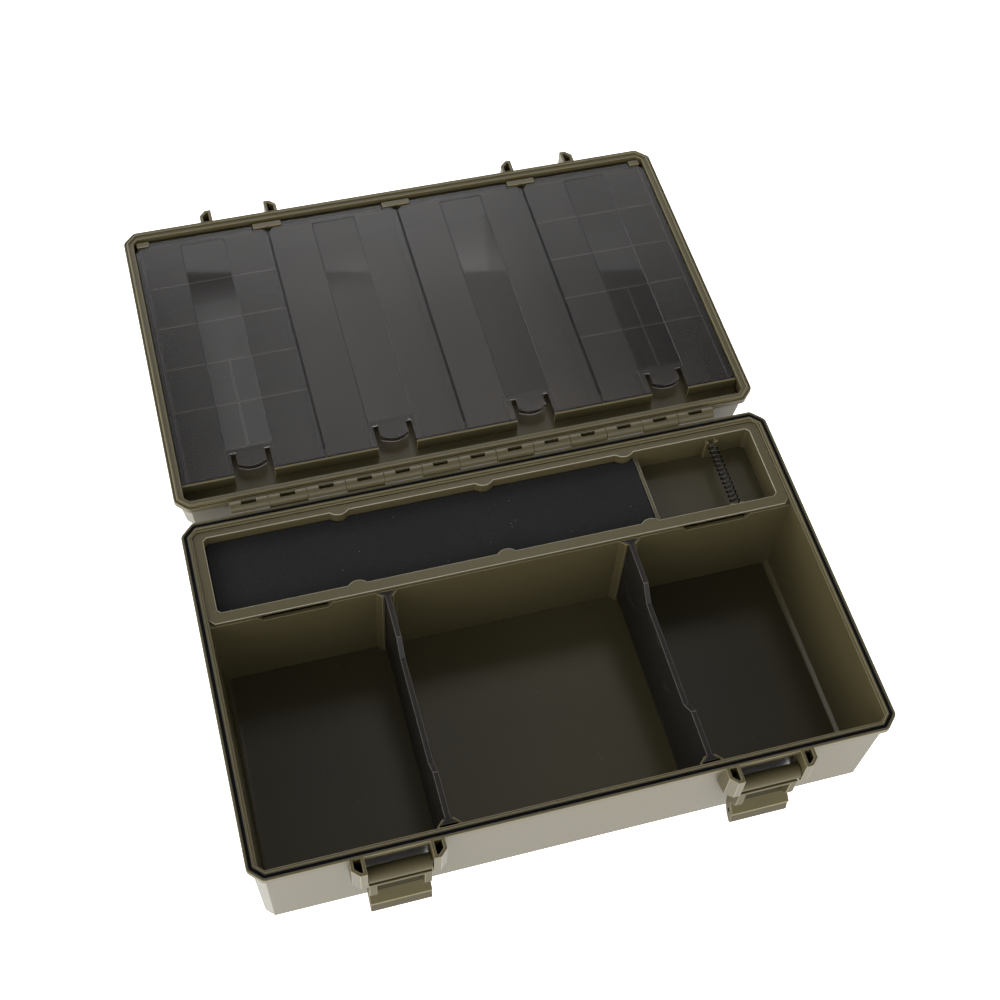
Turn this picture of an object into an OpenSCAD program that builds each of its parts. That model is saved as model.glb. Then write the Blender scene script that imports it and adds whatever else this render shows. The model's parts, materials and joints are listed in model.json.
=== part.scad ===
// Hinged tackle box, standing on its base with the lid swung open flat
// and both latches hanging. Millimetres. The origin is the centre of the
// underside, +X runs along the box, +Y points to the hinge and +Z is up.

/* [Box] */
// Overall width, over the rims
box_w = 360; // [300:1:440]
// Overall depth of the base, over the rims
box_d = 220.6; // [184:0.2:270]
// Height of the base from its underside to the rim
base_h = 72; // [60:1:100]
// Depth of the lid from its rim to its outer face
lid_h = 28; // [24:1:40]
// Width of the rims
rim_w = 6; // [5:0.5:8]
// Height of the rim flanges
flange_h = 3.5; // [2.5:0.5:6]
// How far the walls stand back under the rim
rim_overhang = 2.7; // [1.5:0.1:3]
// Chamfer across each outer corner
corner_cut = 7.5; // [6:0.5:12]
// Radius that softens the chamfers
corner_r = 4; // [1:0.5:6]
// How far each wall leans in from rim to underside
draft = 2.5; // [0:0.5:4]
// Radius of the edge round the underside
foot_r = 3.5; // [2:0.5:4]
// Gap between the rims when the lid is shut
rim_gap = 0.4; // [0.2:0.1:1]

/* [Base] */
// Thickness of the base floor
floor_t = 3; // [2:0.5:5]
// How far the inside of the base leans in
inner_draft = 2; // [0:0.5:3]
// Distance from the outer edge to the seal groove
seal_in = 1.7; // [1.2:0.1:2.2]
// Width of the seal groove
seal_groove_w = 1.6; // [1.2:0.1:2]
// Depth of the seal groove
seal_groove_h = 2.4; // [1.8:0.1:3]
// How far the top of the seal lies under the rim
seal_drop = 0.8; // [0.7:0.1:1.2]
// Thickness of the wall between the front room and the tray room
partition_t = 2.2; // [1.5:0.1:4]
// Depth of the finger recesses in that wall
recess_h = 4; // [2:0.5:8]
// Half length of a finger recess
recess_half = 21.5; // [12:0.5:24]

/* [Dividers] */
// Distance of each divider from the centre
divider_x = 73; // [50:1:100]
// Thickness of a divider
divider_t = 3; // [2:0.2:4]
// How far the middle of a divider is cut down
divider_drop = 9; // [0:1:20]
// Length of the full height part at each end of a divider
divider_shoulder = 30; // [15:1:45]
// How far the slot ribs stand out from the walls
rib_len = 3.4; // [2.5:0.1:5]

/* [Tray] */
// Depth of the tray over its flange
tray_d = 61.1; // [50:0.1:75]
// Width of the tray flange
tray_flange = 5.7; // [4:0.1:8]
// Wall and floor of the tray
tray_wall = 2; // [1.5:0.1:3]
// Height of the tray
tray_h = 21; // [16:1:30]
// Length of the room at the right end of the tray
spring_room = 71.3; // [50:0.1:90]
// Distance between the bumps along the tray
bump_pitch = 88; // [60:1:110]
// Width of a bump
bump_w = 11; // [8:0.5:16]
// How far a bump stands into the tray
bump_len = 2.5; // [1:0.1:4]
// Thickness of the foam board
foam_t = 12; // [6:0.5:12]

/* [Spring] */
// Outside diameter of the rig spring
spring_od = 6.2; // [5:0.1:8]
// Diameter of its wire
wire_d = 0.9; // [0.7:0.05:1.2]
// Number of curls
spring_curls = 13; // [8:1:18]
// Distance of the spring from the right end of its room
spring_in = 24; // [15:1:35]

/* [Hinge] */
// Distance of the hinge axis behind the base rim
hinge_out = 4.7; // [4.4:0.1:6]
// Radius of the knuckles
knuckle_r = 3.6; // [3.2:0.1:4]
// Length of one knuckle with its gap
knuckle_w = 23; // [16:1:30]
// Diameter of the hinge pin
hinge_pin_d = 2.6; // [2:0.1:3]

/* [Latches] */
// Distance of each latch from the centre
latch_x = 103; // [80:1:115]
// Width of a latch
latch_w = 34; // [26:1:40]
// Width of one ear
ear_w = 7.9; // [6:0.1:10]
// How far the ears stand out from the rim
ear_proud = 9.7; // [9:0.1:12]
// Distance of the latch pivot in front of the rim
pivot_out = 5.1; // [4.9:0.1:6]
// Distance of the latch pivot under the rim
pivot_drop = 13.5; // [12:0.5:16]
// Radius of the latch barrel
barrel_r = 4.3; // [3.6:0.1:4.3]
// Diameter of the latch pins
latch_pin_d = 3; // [2:0.1:3.4]

/* [Lid rooms] */
// Thickness of the lid floor and walls
lid_wall = 1.5; // [1.2:0.1:2.5]
// Thickness of the walls in the lid insert
insert_wall = 1.2; // [1:0.1:2]
// Number of covered bays
bays = 4; // [2:1:6]
// Distance from the lid rim to the front wall of the bays
bay_start = 18; // [14:0.5:26]
// Depth of the shelf in front of the bays under the lid rim
shelf_drop = 10.4; // [8:0.2:14]
// Spacing of the cross walls in the outer bays
cell_row = 33.4; // [24:0.2:45]
// Thickness of a cover
cover_t = 1.6; // [1.2:0.1:2.5]
// How far the covers lie under the lid rim
cover_drop = 2; // [1.6:0.1:4]
// Width of the finger notch in front of a cover
notch_w = 23.7; // [18:0.1:30]
// Width of the spring tab of a cover
tab_w = 17.3; // [12:0.1:22]

/* [Fits] */
// Gap beside parts that lift out
lift_gap = 0.3; // [0.2:0.05:0.6]
// Radial gap of a pin in its bore
pin_gap = 0.05; // [0.02:0.01:0.1]
// Gap between neighbouring knuckles and covers
side_gap = 0.4; // [0.2:0.1:1]

/* [Hidden] */
$fn = 48;
eps = 0.01;
over = 1;            // how far a cutter runs past the face it cuts
arc_steps = 4;       // flats on each softened corner

olive = [0.43, 0.41, 0.33];
black = [0.07, 0.07, 0.07];
smoke = [0.28, 0.27, 0.28];
steel = [0.62, 0.63, 0.65];

inner_cut = 3;                                  // chamfer of the openings
ridge_w = 1.4;                                  // top of the rim inside the seal
ledge_drop = 0.8;                               // step down from there to the opening
tongue = [2, 3.1];                              // lid tongue that meets the seal
tongue_h = 1;
rim_groove = [0.9, 1.6];                        // fine groove round the lid rim
inner_w = box_w - 2 * rim_w;
inner_d = box_d - 2 * rim_w;
hinge_y = box_d / 2 + hinge_out;
hinge_z = base_h + rim_gap / 2;
lid_near = 2 * hinge_y - box_d / 2;             // near rim edge of the open lid

// Furniture of the base
inside_top = 4.2;                               // top of the walls under the rim
recess_x = [-125.5, 127.5];                     // centres of the finger recesses
tray_x = inner_w / 2 - lift_gap;                // half length over the flange
tray_back = inner_d / 2 - 0.4;
tray_front = tray_back - tray_d;
partition_y = tray_front - 0.7;                 // its front face
tray_room_x = tray_x - tray_flange;
tray_room_y0 = tray_front + tray_flange + 1.1;  // the front flange is wider,
tray_room_y1 = tray_back - tray_flange + 1.7;   // the back one narrower
tray_top = base_h - 2;
ledge_t = 2;                                    // ledge that carries the tray
tray_floor_z = tray_top - tray_h + tray_wall;   // upper face of the floor
cross_x = tray_room_x - spring_room;            // right face of the cross wall
cross_t = 2.4;
bump_r = (bump_w * bump_w / 4 + bump_len * bump_len) / (2 * bump_len);
foam_top = base_h - 8.5;
foam_bottom = max(foam_top - foam_t, tray_floor_z);
foam_gap = 0.4;
foam_x0 = -tray_room_x + foam_gap;
foam_x1 = cross_x - cross_t - 0.6;
foam_y0 = tray_room_y0 + foam_gap;
foam_y1 = tray_room_y1 - foam_gap;

// Dovetail slots of the dividers
slot_tip = divider_t / 2 + 0.4;                 // half opening between tips
slot_spread = 3.3;                              // widening towards the wall
slot_rib_t = 1.4;
front_wall_y = -(inner_d / 2 - inner_draft);    // inner face at the floor
divider_y0 = front_wall_y + 0.4;
divider_y1 = partition_y - 0.4;
divider_z1 = base_h - inside_top;

// Spring
spring_x = tray_room_x - spring_in;
spring_z = base_h - 8;
coil_r = (spring_od - wire_d) / 2;
bracket_w = 8;
bracket_len = 2.7;
spring_y0 = tray_room_y0 + bracket_len;
spring_y1 = tray_room_y1 - bracket_len;
lead = wire_d * 1.5;
ring_sides = 6;
rings_per_curl = 8;

// Hinge
hinge_margin = 30.5;                            // rim kept free at each end
knuckles = 2 * floor(((box_w - 2 * hinge_margin) / knuckle_w - 1) / 2) + 1;
hinge_len = knuckles * knuckle_w;
leaf_w = knuckle_w + 7;
tail_w = 2 * knuckle_w - leaf_w;
window = [9, 2.8];                              // opening over the pin

// Latches
ear_in = latch_w / 2 + 0.5;
ear_out = ear_in + ear_w;
ear_cut = 4;
ear_h = 19;
ear_slope = 5;
ear_wall = 1.9;
ear_root = 4;                                   // reaches into the wall
latch_reach = 45;                               // pivot to the tip of the lip
rail_w = 4.2;
lip_front = -3.6;
skin_back = 6.4;
skin_t = 1.9;
catch_w = latch_w - 2 * rail_w - 1.5;

// Lid rooms
cover_span = inner_w - 2 * side_gap;
cover_gap = 2 * side_gap;
bay_pitch = (cover_span + cover_gap) / bays;
cover_w = bay_pitch - cover_gap;
cover_near = bay_start + 2;
cover_low = cover_drop + cover_t;               // underside of the covers
wall_top = cover_low + 0.25;                    // top of the bay walls
cover_barrel = 1.9;
cover_cut = 3.5;                                // clears the lid's corners when open
axis_v = box_d - 9.8;                           // cover axis from the near rim
axis_drop = cover_drop + cover_barrel;
cover_far = axis_v - 3;
block_v0 = axis_v - 2;
block_v1 = axis_v + 2.2;
block_half = 9.3;
strip_half = bay_pitch / 2 - block_half - side_gap;
stub_r = 1.2;
stub_len = 4;
insert_x = inner_w / 2 - 3.2;                   // clears the lid's rounded floor edge
shelf_x = inner_w / 2 - lift_gap;
block_x = insert_x + 1.2;                       // outer ends of the end blocks
insert_low = lid_h - lid_wall - 0.1;
pocket_half = notch_w / 2 + 2.3;
pocket_back = bay_start + 21.8;
tab_root = bay_start + 17.6;
tab_tip = bay_start + 5.8;
tab_sag = 3.1;
tab_r = (tab_w * tab_w / 4 + tab_sag * tab_sag) / (2 * tab_sag);
lip_drop = 3;                                   // depth of the tab's turned down lip
cell_lines = [for (v = [pocket_back + cell_row : cell_row : block_v0 - cell_row / 2]) v];

// ---- outlines ----------------------------------------------------------

function dir(a) = [cos(a), sin(a)];

// Corner k of a rectangle w by d whose corners are cut by c
function cut_corner(w, d, c, k) =
    let (x = w / 2, y = d / 2)
    [[x - c, -y], [x, c - y], [x, y - c], [x - c, y],
     [c - x, y], [-x, y - c], [-x, c - y], [c - x, -y]][k];

// The same outline with each of its eight corners rounded to radius r
function soft_outline(w, d, c, r) =
    [for (k = [0:7], i = [0:arc_steps])
        cut_corner(w, d, c, k)
        - r * tan(22.5) * dir(45 * k)
        + r * dir(45 * k + 90)
        + r * dir(45 * k - 90 + 45 * i / arc_steps)];

// Outline of the rim, moved in by t
function rim_outline(t) =
    soft_outline(box_w - 2 * t, box_d - 2 * t,
        corner_cut - t * (2 - sqrt(2)), max(corner_r - t, 0.3));

module slab(outline, z, h = eps)
    translate([0, 0, z]) linear_extrude(h) polygon(outline);

// A band that follows the rim, from t0 to t1 inside its outer edge
module rim_band(t0, t1, z, h) difference() {
    slab(rim_outline(t0), z, h);
    slab(rim_outline(t1), z - over, h + 2 * over);
}

// Bodywork under a rim flange: height h, underside at z = 0
module body_block(h) hull() {
    for (a = [0:30:90])
        slab(rim_outline(rim_overhang + draft + foot_r * (1 - sin(a))),
            foot_r * (1 - cos(a)));
    slab(rim_outline(rim_overhang), h - eps);
}

// Wedge shaped side view, extruded across x from -w / 2 to w / 2
module across(w) rotate([90, 0, 90]) translate([0, 0, -w / 2])
    linear_extrude(w) children();

module span(x0, x1, y0, y1, z0, z1)
    translate([x0, y0, z0]) cube([x1 - x0, y1 - y0, z1 - z0]);

// ---- latch ears, shared by base and lid --------------------------------
// Drawn at a rim edge: y points away from the box and z = 0 is the rim.

module ear_plan(inset)
    polygon([[ear_in + inset, inset > 0 ? inset - rim_overhang + 1 : -ear_root],
        [ear_out - inset, inset > 0 ? inset - rim_overhang + 1 : -ear_root],
        [ear_out - inset, ear_proud - ear_cut - inset * 0.4],
        [ear_out - ear_cut - inset * 0.4, ear_proud - inset],
        [ear_in + inset, ear_proud - inset]]);

module ear() difference() {
    intersection() {
        translate([0, 0, -ear_h - ear_slope])
            linear_extrude(ear_h + ear_slope) ear_plan(0);
        across(3 * ear_out) polygon([[-ear_root, 0], [ear_proud, 0],
            [ear_proud, -ear_h], [-ear_root, -ear_h - ear_slope]]);
    }
    translate([0, 0, -ear_h + ear_wall])
        linear_extrude(ear_h) ear_plan(ear_wall);
}

module ear_pair() for (s = [0, 1]) mirror([s, 0, 0]) ear();

// ---- hinge knuckles ----------------------------------------------------
// parity 0 draws the knuckles of the lid and 1 those of the base.

module barrel(i) translate([(i + 0.5) * knuckle_w - hinge_len / 2, hinge_y, hinge_z])
    rotate([0, 90, 0]) cylinder(r = knuckle_r, h = knuckle_w - side_gap, center = true);

module knuckle_row(parity) difference() {
    for (i = [parity : 2 : knuckles - 1]) {
        cx = (i + 0.5) * knuckle_w - hinge_len / 2;
        half = (knuckle_w - side_gap) / 2;
        barrel(i);
        if (parity == 0) {
            span(cx - half, cx + half, hinge_y + knuckle_r / 2, lid_near + 0.5,
                hinge_z - knuckle_r, base_h - rim_gap / 2);
            span(cx - leaf_w / 2, cx + leaf_w / 2, hinge_y + knuckle_r + 0.35,
                lid_near + 0.5, base_h - flange_h, base_h - 0.4);
        } else {
            span(cx - half, cx + half, box_d / 2 - 0.5, hinge_y - knuckle_r / 2,
                hinge_z - knuckle_r, base_h - rim_gap / 2);
            span(cx - tail_w / 2 + side_gap, cx + tail_w / 2 - side_gap, hinge_y,
                lid_near - 0.4, hinge_z - knuckle_r, base_h - 1.9);
        }
    }
    translate([-hinge_len / 2 - over, hinge_y, hinge_z]) rotate([0, 90, 0])
        cylinder(d = hinge_pin_d + 2 * pin_gap, h = hinge_len + 2 * over);
    for (i = [parity : 2 : knuckles - 1]) {
        cx = (i + 0.5) * knuckle_w - hinge_len / 2;
        span(cx - window[0] / 2, cx + window[0] / 2, hinge_y + 0.3 - window[1] / 2,
            hinge_y + 0.3 + window[1] / 2, hinge_z, hinge_z + knuckle_r + over);
    }
}

// ---- base --------------------------------------------------------------

module base_room() hull() {
    slab(soft_outline(inner_w - 2 * inner_draft - 4, inner_d - 2 * inner_draft - 4,
        inner_cut, 0.3), floor_t);
    slab(soft_outline(inner_w - 2 * inner_draft, inner_d - 2 * inner_draft,
        inner_cut, 0.3), floor_t + 2);
    slab(soft_outline(inner_w, inner_d, inner_cut, 0.3), base_h);
    slab(soft_outline(inner_w, inner_d, inner_cut, 0.3), base_h + over);
}

// Pair of slanted ribs that make a dovetail slot; the wall is at y = 0
module slot_ribs(root) for (s = [-1, 1])
    translate([0, 0, floor_t - over]) linear_extrude(divider_z1 - floor_t + over)
        polygon([[s * (slot_tip + slot_spread), 0], [s * slot_tip, rib_len],
            [s * (slot_tip + slot_rib_t), rib_len],
            [s * (slot_tip + slot_spread + slot_rib_t), 0],
            [s * (slot_tip + slot_spread + slot_rib_t), -root],
            [s * (slot_tip + slot_spread), -root]]);

module partition_wall() difference() {
    span(-box_w / 2, box_w / 2, partition_y, partition_y + partition_t,
        floor_t - over, base_h - inside_top);
    for (x = recess_x) translate([x, partition_y + partition_t + over, 0])
        rotate([90, 0, 0]) linear_extrude(partition_t + 2 * over)
            polygon([[-recess_half, base_h], [-recess_half, base_h - inside_top],
                [3 - recess_half, base_h - inside_top - recess_h],
                [recess_half - 3, base_h - inside_top - recess_h],
                [recess_half, base_h - inside_top], [recess_half, base_h]]);
}

// Ledge along the back and the ends of the room that carries the tray flange
module tray_ledge() difference() {
    span(-box_w / 2, box_w / 2, partition_y, box_d / 2,
        base_h - inside_top - ledge_t, base_h - inside_top);
    span(-tray_room_x - tray_wall - lift_gap, tray_room_x + tray_wall + lift_gap,
        0, tray_room_y1 + tray_wall + lift_gap, 0, base_h);
}

module base_shell() color(olive) {
    difference() {
        union() {
            body_block(base_h - flange_h + eps);
            slab(rim_outline(0), base_h - flange_h, flange_h);
            for (s = [-1, 1]) translate([s * latch_x, -box_d / 2, base_h])
                mirror([0, 1, 0]) ear_pair();
        }
        difference() {
            base_room();
            partition_wall();
            tray_ledge();
            for (s = [-1, 1]) translate([s * divider_x, 0, 0]) {
                translate([0, front_wall_y, 0]) slot_ribs(inner_draft + over);
                translate([0, partition_y, 0]) mirror([0, 1, 0]) slot_ribs(over);
            }
        }
        rim_band(seal_in, seal_in + seal_groove_w, base_h - seal_groove_h,
            seal_groove_h + over);
        slab(rim_outline(seal_in + seal_groove_w + ridge_w), base_h - ledge_drop, 2);
        for (s = [-1, 1]) translate([s * latch_x, -box_d / 2 - pivot_out,
            base_h - pivot_drop]) rotate([0, 90, 0])
                cylinder(d = latch_pin_d + 2 * pin_gap,
                    h = 2 * (ear_in + ear_wall + 1), center = true);
    }
    knuckle_row(1);
}

module base_seal() color(black)
    rim_band(seal_in + 0.1, seal_in + seal_groove_w - 0.1,
        base_h - seal_groove_h + 0.05, seal_groove_h - 0.05 - seal_drop);

module hinge_pin() color(steel)
    translate([0, hinge_y, hinge_z]) rotate([0, 90, 0])
        cylinder(d = hinge_pin_d, h = hinge_len - 1, center = true);

// ---- lid ---------------------------------------------------------------
// In the open lid's own frame y = 0 is its near rim edge and z = 0 its rim.

module in_lid() translate([0, lid_near, base_h]) children();

// Block that the latch hooks over when the lid is shut
module latch_catch() across(catch_w) polygon([[-ear_root, -3.5], [1.2, -3.5],
    [3.9, -6], [3.9, -16.2], [-ear_root, -23]]);

module lid_shell() color(olive) {
    in_lid() difference() {
        union() {
            translate([0, box_d / 2, -lid_h]) body_block(lid_h - flange_h + eps);
            translate([0, box_d / 2, 0]) {
                slab(rim_outline(0), -flange_h, flange_h);
                rim_band(tongue[0], tongue[1], -eps, tongue_h + eps);
            }
            for (s = [-1, 1]) translate([s * latch_x, box_d, 0]) {
                ear_pair();
                latch_catch();
            }
        }
        translate([0, box_d / 2, 0]) {
            hull() {
                slab(rim_outline(rim_overhang + draft + lid_wall + 2.2), -lid_h + lid_wall);
                slab(rim_outline(rim_overhang + draft + lid_wall), -lid_h + lid_wall + 2.2);
                slab(rim_outline(rim_overhang + lid_wall), -flange_h - eps);
            }
            slab(soft_outline(inner_w, inner_d, inner_cut, 0.3), -lid_h / 2, lid_h);
            rim_band(rim_groove[0], rim_groove[1], -ledge_drop, 2);
        }
    }
    knuckle_row(0);
}

function bay_x(i) = (i - (bays - 1) / 2) * bay_pitch;

module pocket(x) {
    span(x - pocket_half - insert_wall, x + pocket_half + insert_wall, bay_start,
        pocket_back + insert_wall, -shelf_drop - insert_wall, -shelf_drop);
    for (s = [-1, 1]) span(x + s * (pocket_half + insert_wall / 2) - insert_wall / 2,
        x + s * (pocket_half + insert_wall / 2) + insert_wall / 2, bay_start,
        pocket_back + insert_wall, -shelf_drop - insert_wall, -wall_top);
    span(x - pocket_half, x + pocket_half, pocket_back, pocket_back + insert_wall,
        -shelf_drop - insert_wall, -wall_top);
}

// Comb of thin walls that splits an outer bay into small cells: the lid's side
// wall of that bay, the walls across it and a short wall along its middle
module cell_grid(side) color(olive) in_lid() {
    x = side * bay_x(bays - 1);
    across_x0 = side * (bay_x(bays - 1) - (bay_pitch - insert_wall) / 2);
    across_x1 = side * insert_x;
    span(min(across_x1, across_x1 - side * insert_wall),
        max(across_x1, across_x1 - side * insert_wall),
        bay_start + insert_wall, block_v0, -insert_low, -wall_top);
    for (v = cell_lines) span(min(across_x0, across_x1), max(across_x0, across_x1),
        v - insert_wall / 2, v + insert_wall / 2, -insert_low, -wall_top);
    span(x - insert_wall / 2, x + insert_wall / 2, pocket_back + insert_wall,
        cell_lines[min(1, len(cell_lines) - 1)], -insert_low, -wall_top);
}

module cell_grid_left() cell_grid(-1);
module cell_grid_right() cell_grid(1);

module hinge_block(i) intersection() {
    span(i * bay_pitch - cover_span / 2 - block_half,
        i * bay_pitch - cover_span / 2 + block_half,
        block_v0, block_v1, -9, -cover_drop + 0.4);
    span(-block_x, block_x, 0, box_d, -lid_h, 0);
}

// Shelf along the near rim with the finger pockets behind it
module finger_shelf() color(olive) in_lid() difference() {
    union() {
        translate([0, 0, -shelf_drop - insert_wall]) linear_extrude(insert_wall)
            polygon([[-shelf_x, rim_w + 5], [4 - shelf_x, rim_w + lift_gap],
                [shelf_x - 4, rim_w + lift_gap], [shelf_x, rim_w + 5],
                [shelf_x, bay_start + insert_wall], [-shelf_x, bay_start + insert_wall]]);
        span(-shelf_x, shelf_x, bay_start, bay_start + insert_wall,
            -shelf_drop - eps, -cover_drop);
        for (i = [0 : bays - 1]) pocket(bay_x(i));
    }
    for (i = [0 : bays - 1]) span(bay_x(i) - notch_w / 2, bay_x(i) + notch_w / 2,
        bay_start - over, bay_start + insert_wall + over, -shelf_drop, over);
}

// Long walls between the rooms, the wall under the shelf and the far wall with
// the blocks that hold the covers' stubs
module lid_insert() color(olive) in_lid() difference() {
    union() {
        span(-insert_x, insert_x, bay_start, bay_start + insert_wall,
            -insert_low, -shelf_drop - insert_wall);
        span(-insert_x, insert_x, block_v0, block_v0 + insert_wall, -insert_low,
            -axis_drop - cover_barrel - 0.8);
        for (i = [1 : bays - 1]) difference() {
            span(bay_x(i) - (bay_pitch + insert_wall) / 2,
                bay_x(i) - (bay_pitch - insert_wall) / 2, bay_start,
                block_v0 + insert_wall, -insert_low, -wall_top);
            span(-box_w / 2, box_w / 2, 0, bay_start + insert_wall,
                -shelf_drop - insert_wall, 0);
        }
        for (i = [0 : bays]) hinge_block(i);
    }
    for (i = [0 : bays - 1]) translate([bay_x(i), axis_v, -axis_drop])
        rotate([0, 90, 0]) cylinder(r = stub_r + pin_gap,
            h = 2 * (strip_half + stub_len + 0.3), center = true);
}

// Plan of the spring tab: a strip whose free end is an arc
module tab_strip(length)
    translate([-tab_w / 2, tab_tip - over]) square([tab_w, length + over]);

module tab_circle(r) translate([0, tab_tip + tab_r]) circle(r = r, $fn = 96);

module tab_plan() intersection() {
    tab_strip(tab_root - tab_tip + 0.5);
    union() {
        tab_circle(tab_r);
        translate([-tab_w / 2, tab_tip + tab_sag + 1]) square([tab_w, tab_root]);
    }
}

module lip_plan() difference() {
    intersection() {
        tab_strip(tab_sag + cover_t);
        tab_circle(tab_r);
    }
    tab_circle(tab_r - cover_t);
}

module cover(i) color(smoke, 0.6) in_lid() translate([bay_x(i), 0, 0]) {
    difference() {
        translate([0, 0, -cover_low]) linear_extrude(cover_t)
            polygon([[-cover_w / 2, cover_near], [cover_w / 2, cover_near],
                [cover_w / 2, cover_far - cover_cut], [cover_w / 2 - cover_cut, cover_far],
                [cover_cut - cover_w / 2, cover_far], [-cover_w / 2, cover_far - cover_cut]]);
        span(-notch_w / 2, notch_w / 2, cover_near - over, tab_root,
            -cover_low - over, over);
    }
    translate([0, 0, -cover_low]) linear_extrude(cover_t) tab_plan();
    translate([0, 0, -cover_low - lip_drop]) linear_extrude(lip_drop + eps) lip_plan();
    span(-strip_half, strip_half, cover_far - eps, axis_v, -cover_low, -cover_drop);
    translate([0, axis_v, -axis_drop]) rotate([0, 90, 0]) {
        cylinder(r = cover_barrel, h = 2 * strip_half, center = true);
        cylinder(r = stub_r, h = 2 * (strip_half + stub_len), center = true);
    }
}

module cover_1() cover(0);
module cover_2() cover(1);
module cover_3() cover(2);
module cover_4() cover(3);

// ---- latches -----------------------------------------------------------
// Side view of a hanging latch: the pivot is the origin, y points to the box.

module latch_profile() polygon([[3.9, 1.6], [skin_back - 1, -3], [skin_back, -8],
    [skin_back + 0.2, -20], [skin_back - 0.4, -32], [4.2, -38.5], [1.2, -42.4],
    [-2.5, -latch_reach + 0.4], [-4, -latch_reach], [-5, -43], [-4.6, -40.5],
    [-3.9, -36.6], [lip_front, -34.2], [lip_front, -7], [skin_back - skin_t - 1, -7],
    [skin_back - skin_t - 1, -5.2], [0, -barrel_r + 0.3], [0, 1.6]]);

module latch(side) color(olive)
    translate([side * latch_x, -box_d / 2 - pivot_out, base_h - pivot_drop])
        difference() {
            union() {
                across(latch_w) latch_profile();
                rotate([0, 90, 0]) cylinder(r = barrel_r, h = latch_w, center = true);
            }
            across(latch_w - 2 * rail_w) polygon([[lip_front - over, -9],
                [skin_back - skin_t, -9], [skin_back - skin_t, -25],
                [skin_back - skin_t - 1, -27], [lip_front, -33.4],
                [lip_front - over, -33.8]]);
            rotate([0, 90, 0]) cylinder(d = latch_pin_d + 2 * pin_gap,
                h = latch_w + 2 * over, center = true);
            translate([0, 0.4, -36.8]) rotate([0, 90, 0])
                cylinder(r = 1.5, h = latch_w + 2 * over, center = true);
        }

module latch_left() latch(-1);
module latch_right() latch(1);

module latch_pin(side) color(steel)
    translate([side * latch_x, -box_d / 2 - pivot_out, base_h - pivot_drop])
        rotate([0, 90, 0]) cylinder(d = latch_pin_d, h = 2 * (ear_in + ear_wall),
            center = true);

module latch_pin_left() latch_pin(-1);
module latch_pin_right() latch_pin(1);

// ---- furniture of the base ---------------------------------------------

// Rounded bumps on the two long walls of the tray, grown by g
module bumps(g, z0, z1) for (x = [-bump_pitch, 0, bump_pitch], s = [0, 1]) {
    y = s == 0 ? tray_room_y0 + bump_len - bump_r : tray_room_y1 - bump_len + bump_r;
    translate([x, y, z0]) cylinder(r = bump_r + g, h = z1 - z0);
}

module spring_bracket(y0) difference() {
    span(spring_x - bracket_w / 2, spring_x + bracket_w / 2, y0, y0 + bracket_len,
        tray_floor_z - eps, spring_z + 3);
    translate([spring_x, y0 + bracket_len / 2, spring_z]) rotate([90, 0, 0])
        linear_extrude(bracket_len + 2 * over, center = true)
            polygon([[-2.4, 4], [-1.1, 0.4], [1.1, 0.4], [2.4, 4]]);
}

module rig_tray() color(olive) {
    difference() {
        union() {
            translate([0, (tray_front + tray_back) / 2, 0])
                slab(soft_outline(2 * tray_x, tray_d, inner_cut, 0.3),
                    tray_top - tray_wall, tray_wall);
            span(-tray_room_x - tray_wall, tray_room_x + tray_wall,
                tray_room_y0 - tray_wall, tray_room_y1 + tray_wall,
                tray_top - tray_h, tray_top - eps);
        }
        difference() {
            translate([0, (tray_room_y0 + tray_room_y1) / 2, 0])
                slab(soft_outline(2 * tray_room_x, tray_room_y1 - tray_room_y0, 2, 0.3),
                    tray_floor_z, tray_h + over);
            bumps(0, tray_floor_z - over, tray_top);
        }
    }
    span(cross_x - cross_t, cross_x, tray_room_y0 - eps, tray_room_y1 + eps,
        tray_floor_z - eps, foam_top - 1);
    spring_bracket(tray_room_y0 - eps);
    spring_bracket(tray_room_y1 - bracket_len + eps);
}

module foam_board() color([0.15, 0.15, 0.15]) difference() {
    translate([0, 0, foam_bottom + 0.3]) linear_extrude(foam_top - foam_bottom - 0.3)
        polygon([[foam_x0 + 2, foam_y0], [foam_x1, foam_y0], [foam_x1, foam_y1],
            [foam_x0 + 2, foam_y1], [foam_x0, foam_y1 - 2], [foam_x0, foam_y0 + 2]]);
    bumps(foam_gap, foam_bottom - over, foam_top + over);
}

// The spring's wire: straight at both ends, one unbroken helix between
spring_turn0 = 270;                  // both ends leave at the foot of the coil
coil_y0 = spring_y0 + lead;
coil_y1 = spring_y1 - lead;
spring_steps = spring_curls * rings_per_curl;
function coil_point(i) =
    let (a = spring_turn0 + 360 * i / rings_per_curl)
    [spring_x + coil_r * cos(a), coil_y0 + (coil_y1 - coil_y0) * i / spring_steps,
     spring_z + coil_r * sin(a)];
spring_path = concat(
    [coil_point(0) - [0, lead, 0], coil_point(0) - [0, lead / 3, 0]],
    [for (i = [1 : spring_steps - 1]) coil_point(i)],
    [coil_point(spring_steps) + [0, lead / 3, 0], coil_point(spring_steps) + [0, lead, 0]]);

function unit(v) = v / norm(v);
function tangent(p, i) =
    i <= 0 || i >= len(p) - 1 ? [0, 1, 0] : unit(p[i + 1] - p[i - 1]);
// Each ring is turned by the direction from the coil axis, so it never twists
function ring(p, i) =
    let (t = tangent(p, i), radial = unit([p[i][0] - spring_x, 0, p[i][2] - spring_z]),
         n = unit(radial - t * (radial * t)), b = cross(t, n))
    [for (k = [0 : ring_sides - 1])
        p[i] + wire_d / 2 * (n * cos(360 * k / ring_sides) + b * sin(360 * k / ring_sides))];

spring_rings = [for (i = [0 : len(spring_path) - 1]) ring(spring_path, i)];
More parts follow.
